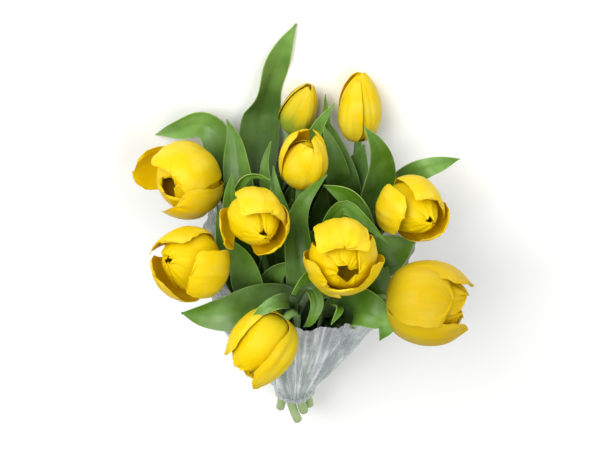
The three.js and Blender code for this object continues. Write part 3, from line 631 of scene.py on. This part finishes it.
# One entry for each leaf. stem: the tulip it grows on; at: how far up, from 0 at the tie to 1 at the
# bloom; width: its widest; faces: where its upper side looks; cup: degrees that each half folds up;
# wave: how far its edges wave; small: fewer faces; dark: how far up the shade of its foot reaches;
# waxy: more bluish bloom; widest: where it is; twist: degrees it turns over at twistAt; sheath: how
# far it runs up the stem; through: the points its middle passes, its tip last. usualLeaf gives what
# an entry leaves out.
usualLeaf = {"faces": (0, -0.5, 0.87), "wave": 1.5, "small": False, "dark": 0.76, "waxy": 0.0,
             "widest": 0.5, "twist": 0, "twistAt": 0.7, "sheath": 16}
leaves = [
    {"stem": "a", "at": 0.42, "width": 37, "faces": (0.1, -0.5, 0.87), "cup": 22, "wave": 2, "dark": 1.05,
     "waxy": 0.5, "widest": 0.62, "twist": 56, "twistAt": 0.76,
     "through": ((-33, 68, 246), (-32, 101, 256), (-29, 133, 265), (-20, 148, 305), (-10, 157, 330),
                 (2, 166, 355))},
    {"stem": "h", "at": 0.5, "width": 29, "faces": (0.1, -0.7, 0.7), "cup": 28, "wave": 2.5, "waxy": 0.3,
     "through": ((-61, 84, 254), (-70, 106, 277), (-81, 114, 278), (-103, 117, 264), (-123, 126.5, 241))},
    {"stem": "h", "at": 0.58, "width": 30, "faces": (-0.3, -0.5, 0.8), "cup": 30, "dark": 0.95,
     "through": ((-46, 53, 262), (-49, 74, 279), (-52, 92, 288), (-58, 108, 295))},
    {"stem": "d", "at": 0.66, "width": 15, "faces": (0, -0.6, 0.8), "cup": 25, "wave": 0.5, "small": True,
     "through": ((-52, 25, 270), (-54, 36, 291), (-52, 49, 303))},
    {"stem": "d", "at": 0.74, "width": 8, "faces": (0, -0.9, 0.3), "cup": 25, "wave": 0.5, "small": True,
     "through": ((-49, 36, 284), (-41, 44, 302), (-31, 46, 303), (-20, 46, 296))},
    {"stem": "c", "at": 0.5, "width": 17, "faces": (-0.4, -0.5, 0.8), "cup": 30, "small": True, "dark": 1.0,
     "through": ((-22, 55, 250), (-25, 75, 274), (-20, 91, 287))},
    {"stem": "a", "at": 0.62, "width": 14, "cup": 26, "wave": 1, "small": True,
     "through": ((14, 98, 245), (27, 118, 272), (27, 137, 290))},
    {"stem": "c", "at": 0.6, "width": 20, "faces": (-0.3, -0.5, 0.8), "cup": 42,
     "through": ((12, 88, 258), (22, 106, 288), (35, 119, 304))},
    {"stem": "b", "at": 0.4, "width": 50, "cup": 20, "dark": 1.1,
     "through": ((42, 66, 222), (53, 86, 244), (61, 103, 262))},
    {"stem": "b", "at": 0.6, "width": 26, "faces": (0.3, -0.5, 0.8), "cup": 35, "wave": 1, "small": True,
     "dark": 1.1, "through": ((36, 74, 260), (31, 90, 282), (25, 102, 294))},
    {"stem": "b", "at": 0.64, "width": 30, "cup": 26, "dark": 1.1,
     "through": ((44, 68, 238), (36, 92, 266), (30, 114, 281))},
    {"stem": "f", "at": 0.5, "width": 33, "faces": (0.3, -0.5, 0.8), "cup": 25, "dark": 0.95,
     "through": ((66, 44, 226), (71, 62, 244), (75, 76, 269), (70, 84, 291), (60, 92, 308))},
    {"stem": "f", "at": 0.66, "width": 22, "faces": (0.1, -0.6, 0.8), "cup": 28, "wave": 2, "waxy": 0.3,
     "through": ((99, 84, 238), (118, 85, 254), (145, 97, 248))},
    {"stem": "f", "at": 0.62, "width": 28, "faces": (-0.2, -0.8, 0.6), "cup": 28,
     "through": ((56, 34, 248), (47, 42, 274), (25, 49, 283))},
    {"stem": "e", "at": 0.6, "width": 15, "faces": (0.2, -0.5, 0.87), "cup": 40, "wave": 1, "small": True,
     "through": ((27, 14, 262), (42, 24, 288), (60, 13, 281), (79, 2, 266))},
    {"stem": "j", "at": 0.33, "width": 27, "cup": 26, "wave": 2, "dark": 0.82,
     "through": ((6, -20, 236), (3, 7, 260), (3, 21, 272), (9, 33, 285), (28, 54, 292))},
    {"stem": "i", "at": 0.5, "width": 30, "faces": (-0.2, -0.4, 0.9), "cup": 28,
     "through": ((-38, -18, 222), (-46, -4, 248), (-60, 9, 267))},
    {"stem": "e", "at": 0.8, "width": 30, "faces": (0, -0.6, 0.8), "cup": 18, "wave": 1, "sheath": 8,
     "through": ((30, -22, 250), (15, -33, 258), (-2, -45, 262))},
    {"stem": "j", "at": 0.5, "width": 38, "cup": 22, "wave": 2.5, "dark": 0.88,
     "through": ((-8, -39, 230), (-31, -45, 240), (-54, -54, 244), (-75, -53, 238), (-96, -46, 230))},
    {"stem": "c", "at": 0.44, "width": 27, "faces": (0.1, -0.5, 0.87), "cup": 26, "wave": 1, "small": True,
     "through": ((-20, -4, 207), (-14, -2, 222), (2, 2, 234))},
    {"stem": "g", "at": 0.7, "width": 44, "cup": 24,
     "through": ((62, 0, 232), (82, 6, 241), (104, 18, 240))},
    {"stem": "g", "at": 0.62, "width": 42, "cup": 22, "wave": 2,
     "through": ((54, -24, 222), (68, -24, 236), (80, -10, 246))},
    {"stem": "g", "at": 0.5, "width": 38, "faces": (0.1, -0.5, 0.87), "cup": 20, "wave": 2.5,
     "through": ((50, -40, 230), (64, -50, 241), (78, -60, 237), (73, -68, 222))},
    {"stem": "j", "at": 0.75, "width": 12, "faces": (0.2, -0.3, 0.9), "cup": 30, "wave": 1, "small": True,
     "through": ((13, -40, 262), (19, -55, 264), (14, -67, 255), (8, -66, 243))},
    {"stem": "j", "at": 0.85, "width": 13, "faces": (0, -0.3, 0.95), "cup": 35, "wave": 2, "small": True,
     "sheath": 3, "through": ((-4, -58, 273), (-18, -65, 281), (-35, -73, 272))},
    {"stem": "g", "at": 0.6, "width": 12, "faces": (0.3, -0.3, 0.9), "cup": 30, "small": True,
     "through": ((34, -42, 236), (38, -54, 250), (31, -66, 247))},
    {"stem": "c", "at": 0.4, "width": 22, "cup": 26, "wave": 1, "small": True,
     "through": ((-10, 38, 240), (-16, 58, 259), (-18, 76, 271))},
    {"stem": "i", "at": 0.36, "width": 24, "faces": (0.2, -0.5, 0.87), "cup": 28, "small": True,
     "through": ((-56, 10, 216), (-62, 24, 240), (-66, 44, 258))}
]

# Broad lower leaves deep in the sleeve, behind the others: stem, at, direction in degrees, how far
# out and up the tip is, and width.
lowerLeaves = (
    ("g", 0.34, 8, 74, 214, 44), ("f", 0.34, 30, 88, 226, 50), ("f", 0.26, 52, 79, 226, 46),
    ("b", 0.34, 72, 93, 236, 48), ("b", 0.27, 92, 80, 234, 46), ("a", 0.30, 112, 98, 238, 52),
    ("h", 0.30, 134, 82, 232, 46), ("h", 0.22, 156, 66, 220, 38), ("e", 0.34, 350, 54, 212, 40),
    ("e", 0.42, 320, 40, 214, 36), ("i", 0.26, 195, 52, 212, 40), ("d", 0.40, 120, 38, 234, 40),
    ("c", 0.34, 60, 44, 234, 40), ("c", 0.28, 92, 64, 234, 44), ("d", 0.30, 215, 34, 214, 36))
for stem, at, turn, out, up, width in lowerLeaves:
    x, y = math.cos(rad(turn)), math.sin(rad(turn))
    leaves.append({"stem": stem, "at": at, "width": width, "cup": 24, "wave": 2, "dark": 0.95,
                   "faces": (-0.6 * x, -0.6 * y - 0.3, 0.6),
                   "through": tuple((out * far * x, out * far * y, up * high)
                                    for far, high in ((0.55, 0.62), (0.85, 0.84), (1.0, 1.0)))})

# opens: the share of its length that a leaf clasps the stem for; clasp: how far it folds up there.
leafShape = {"across": 14, "along": 56, "smallAcross": 10, "smallAlong": 34, "thick": 0.8, "foot": 11,
             "hug": 3.6, "clasp": 80, "opens": 0.35, "ripples": 5, "groove": 0.7, "grooveWide": 0.14,
             "twistWide": 0.11, "dents": 0.8, "tipWide": 0.04}


# A centripetal Catmull-Rom curve through points: gives the spot and the way at a share of its length.
def leafLine(points, steps=200):
    def at(t):
        i = min(int((len(points) - 1) * t), len(points) - 2)
        w = (len(points) - 1) * t - i
        p1, p2 = points[i], points[i + 1]
        p0 = points[i - 1] if i > 0 else p1 * 2 - p2
        p3 = points[i + 2] if i + 2 < len(points) else p2 * 2 - p1
        d0, d1, d2 = (max((b - a).length_squared, 1e-9) ** 0.25
                      for a, b in ((p0, p1), (p1, p2), (p2, p3)))
        m1 = ((p1 - p0) / d0 - (p2 - p0) / (d0 + d1) + (p2 - p1) / d1) * d1
        m2 = ((p2 - p1) / d1 - (p3 - p1) / (d1 + d2) + (p3 - p2) / d2) * d1
        return (p1 + m1 * w + (p2 * 3 - p1 * 3 - m1 * 2 - m2) * w * w
                + (p1 * 2 - p2 * 2 + m1 + m2) * w ** 3)

    spots = [at(i / steps) for i in range(steps + 1)]
    lengths = [0.0]
    for a, b in zip(spots, spots[1:]):
        lengths.append(lengths[-1] + (b - a).length)

    def spotAt(share):
        goal = share * lengths[-1]
        low = min(bisect_right(lengths, goal), steps) - 1
        return at((low + (goal - lengths[low]) / (lengths[low + 1] - lengths[low])) / steps)

    def wayAt(share):
        return (spotAt(min(share + 1e-4, 1)) - spotAt(max(share - 1e-4, 0))).normalized()
    return spotAt, wayAt


# A leaf's width, as a share of its most: it widens from its foot and comes to a point.
def leafWidth(t, foot, widest):
    if t < widest:
        return mix(foot, 1, smooth(t / widest))
    return max(leafShape["tipWide"], 1 - ((t - widest) / (1 - widest)) ** 2.1)


# The middle of one leaf's thickness: it clasps the stem, then opens out along its line.
def leafPlace(leaf, index):
    stem = stemLine(tulips[leaf["stem"]])
    root = bezier(stem, leaf["at"])
    along = (bezier(stem, leaf["at"] + 1e-4) - bezier(stem, leaf["at"] - 1e-4)).normalized()
    through = [Vector(p) for p in leaf["through"]]
    first = through[0] - root
    outward = (first - along * first.dot(along)).normalized()
    foot = root + outward * leafShape["hug"]
    spotAt, wayAt = leafLine([foot, foot + along * leaf["sheath"], *through])
    upper = Vector(leaf["faces"]).normalized()
    footWide = leafShape["foot"] / leaf["width"]
    rows = {}

    def row(t):
        if t not in rows:
            way = wayAt(t)
            opened = smooth(t / leafShape["opens"])
            face = (-outward).lerp(upper, opened)
            face = (face - way * face.dot(way)).normalized()
            turned = leaf["twist"] * hump(t - leaf["twistAt"], leafShape["twistWide"])
            face = Matrix.Rotation(rad(turned), 3, way) @ face
            half = leaf["width"] / 2 * leafWidth(t, footWide, leaf["widest"])
            fold = mix(rad(leafShape["clasp"]), rad(leaf["cup"]), opened)
            rows[t] = spotAt(t), face, way.cross(face), half / fold, fold, opened
        return rows[t]

    def place(u, t):
        middle, face, side, radius, fold, opened = row(t)
        tipward = min(1, 4 * (1 - t))   # the waves die out at the tip
        wave = leaf["wave"] * math.sin(leafShape["ripples"] * math.pi * t + index + (1.3 if u > 0 else 0))
        lift = radius * (1 - math.cos(u * fold)) + wave * u * u * opened * tipward
        lift -= leafShape["groove"] * hump(u, leafShape["grooveWide"]) * opened * min(1, 3 * (1 - t))
        lift += leafShape["dents"] * ripple(1.5 * u + index, 5 * t, index) * opened * tipward
        return middle + face * lift + side * (radius * math.sin(u * fold))
    return place


def makeLeaf(leaf, index):
    across = leafShape["smallAcross" if leaf["small"] else "across"]
    along = leafShape["smallAlong" if leaf["small"] else "along"]
    blade = bladeFromGrid("leaf", leafPlace(leaf, index), across, along, {
        "waxy": leaf["waxy"], "footward": lambda u, t: 0.95 * (1 - smooth((t - 0.12) / leaf["dark"]))})
    giveMaterials(blade, *leafMaterials, stemGreen)
    # the upper side is turned to where the leaf faces, judged past its middle, where it is open
    faces = (toTable.to_3x3() @ Vector(leaf["faces"])).normalized()
    count = len(blade.data.polygons)
    if sum(face.normal.dot(faces) for face in blade.data.polygons[count // 2: 3 * count // 4]) < 0:
        blade.data.flip_normals()
    addWall(blade, leafShape["thick"], under=1)
    return blade


def makeLeafyStem(name, tulip):
    parts = [makeStem(tulip)]
    parts += [makeLeaf({**usualLeaf, **leaf}, k) for k, leaf in enumerate(leaves) if leaf["stem"] == name]
    finishPiece(joinPieces(f"leafyStem{name.upper()}", parts), f"stem_{name}")


# The film's rim: direction in degrees, distance from the bunch's axis, height above the tie.
rim = ((0, 98, 230), (14, 108, 230), (45, 108, 214), (90, 113, 219), (125, 118, 226), (152, 88, 230),
       (185, 74, 224), (229, 84, 226), (252, 56, 230), (286, 66, 234), (307, 71, 228), (321, 88, 226),
       (338, 72, 222), (360, 98, 230))

# The film sleeve, one sheet rolled into a cone: a ruffle below the tie, gathered straight at it, and
# out to the rim. ruffleEnds and straightEnds are shares of its grid. creases: how many there are,
# how they lean with the rise, the seed and how deep each kind is.
film = {"neck": 18.4, "thick": 0.2, "pleat": 0.8, "pleats": 36, "straight": 4, "swell": 0.2,
        "ruffle": 8, "ruffleOut": 0.5, "ruffleFold": 1.2, "around": 432, "along": 84,
        "ruffleEnds": 0.09, "straightEnds": 0.12, "slack": 1.6,
        "creases": ((4, 2.2, 0, 5, 1.5), (9, 0, 2.8, 9, 1.1), (19, 3, 0, 12, 0.5))}


def rimAt(degrees):
    degrees %= 360
    after = next(i for i, (at, _, _) in enumerate(rim) if at > degrees)
    (at, out, up), (nextAt, nextOut, nextUp) = rim[after - 1], rim[after]
    s = smooth((degrees - at) / (nextAt - at))
    return mix(out, nextOut, s), mix(up, nextUp, s)


def filmPlace(u, t):
    a = rad(180 * (u + 1))
    x, y = math.cos(a), math.sin(a)
    gathers = (math.sin(film["pleats"] / 2 * a + 2.2 * ripple(2 * x, 2 * y, 4))
               * (0.55 + 0.6 * ripple(4 * x, 4 * y, 7)) + 0.7 * ripple(9 * x, 9 * y, 2))
    if t < film["ruffleEnds"]:
        down = 1 - t / film["ruffleEnds"]
        out = film["neck"] + film["ruffleOut"] * down
        out += gathers * mix(film["pleat"], film["ruffleFold"], down)
        z = mix(-film["straight"], -film["ruffle"], down) + 4 * down * ripple(2.5 * x, 2.5 * y, 0)
    elif t < film["straightEnds"]:
        s = (t - film["ruffleEnds"]) / (film["straightEnds"] - film["ruffleEnds"])
        out = film["neck"] + gathers * film["pleat"] * 0.8
        z = mix(-film["straight"], film["straight"], s)
    else:
        rise = (t - film["straightEnds"]) / (1 - film["straightEnds"])
        rimOut, rimUp = rimAt(180 * (u + 1))
        share = mix(rise, math.sin(math.pi / 2 * rise), film["swell"])
        # creases run out from the tie: many at the neck, fewer and softer at the rim
        near = (1 - rise) ** 2
        soft = sum(deep * (1 - 2.4 * abs(ripple(count * x + leanX * rise, count * y + leanY * rise, seed)))
                   for count, leanX, leanY, seed, deep in film["creases"])
        crease = near * gathers * film["pleat"] + (1 - near) * soft
        out = mix(film["neck"], rimOut, share) + crease - film["slack"] * (1 - near)
        z = mix(film["straight"], rimUp, rise)
    return Vector((out * x, out * y, z))


# The tape round the gathered film.
tape = {"radius": 20.3, "wide": 6, "thick": 0.3, "around": 180, "along": 10, "dents": 0.25, "edge": 0.3}


def tapePlace(u, t):
    a = rad(180 * (u + 1))
    x, y = math.cos(a), math.sin(a)
    out = tape["radius"] + tape["dents"] * ripple(5 * x, 5 * y, 2 * t)
    return Vector((out * x, out * y, (t - 0.5) * tape["wide"] + tape["edge"] * ripple(3 * x, 3 * y, 0)))


# Rolls a grid into a ring: its two side edges meet, are merged, and the sheet gets its thickness.
def makeRolled(name, place, sheet, material, node, crease):
    piece = bladeFromGrid(name, place, sheet["around"], sheet["along"])
    selectOnly(piece)
    bpy.ops.object.mode_set(mode="EDIT")
    bpy.ops.mesh.select_all(action="SELECT")
    bpy.ops.mesh.remove_doubles(threshold=0.00002)
    bpy.ops.mesh.normals_make_consistent(inside=False)
    bpy.ops.object.mode_set(mode="OBJECT")
    giveMaterials(piece, material)
    addWall(piece, sheet["thick"])
    finishPiece(piece, node, crease)


for name, tulip in tulips.items():
    makeBloom(name, tulip)
    makeLeafyStem(name, tulip)
    if name in openBlooms:
        makeStamens(name, tulip)
print("blooms, stems, leaves and stamens made")
makeRolled("filmSleeve", filmPlace, film, filmMilky, "sleeve", 70)
makeRolled("tapeTie", tapePlace, tape, tapeMilky, "tie", 50)
print("film and tape made")


# Floor, lights and camera. Each light is its power in watts and its place in metres.
studio = {"floor": "#FAFAF8", "floorWide": 12, "world": 0.24, "lit": (0, 0.06, 0.1), "lightWide": 3,
          "lights": {"key": (214, (-1.8, 2.8, 2.6)), "fill": (74, (2.0, 1.6, 3.6)),
                     "rim": (44, (2.6, -1.4, 3.4))}}


def makeFloor():
    selectOnly()
    bpy.ops.mesh.primitive_plane_add(size=studio["floorWide"], location=(0, 0, 0))
    floor = freshObject("floor")
    material, shader, _ = newMaterial("palePaper")   # matt, so that only soft shadows show on it
    setInputs(material, shader, {"Base Color": hexColour(studio["floor"]), "Roughness": 0.9})
    giveMaterials(floor, material)


def addLight(name, energy, spot):
    bpy.ops.object.light_add(type="AREA", location=spot)
    light = bpy.context.object
    light.name = name
    light.data.energy, light.data.size = energy, studio["lightWide"]
    light.rotation_euler = (Vector(studio["lit"]) - Vector(spot)).to_track_quat("-Z", "Y").to_euler()


def makeWorld():
    world = bpy.data.worlds.new("paleRoom")
    bpy.context.scene.world = world
    world.use_nodes = True
    background = world.node_tree.nodes["Background"]
    background.inputs["Color"].default_value = (1, 1, 1, 1)
    background.inputs["Strength"].default_value = studio["world"]


def makeCamera():
    tilt = rad(layout["offAxis"])
    back = (toTable.to_3x3() @ Vector((0, -math.sin(tilt), math.cos(tilt)))).normalized()
    right = Vector((1, 0, 0))
    up = back.cross(right)
    data = bpy.data.cameras.new("camera")
    data.lens, data.sensor_width, data.clip_end = layout["lens"], 36, 50
    camera = bpy.data.objects.new("camera", data)
    bpy.context.scene.collection.objects.link(camera)
    place = Matrix((right, up, back)).transposed().to_4x4()
    place.translation = toTable @ Vector(layout["aim"]) + back * layout["distance"] / 1000
    camera.matrix_world = place
    bpy.context.scene.camera = camera


makeFloor()
for name, (energy, spot) in studio["lights"].items():
    addLight(name, energy, spot)
makeWorld()
makeCamera()
bpy.context.scene.view_settings.view_transform = "Standard"   # keeps the yellow as strong as it is
print("floor, lights and camera made")
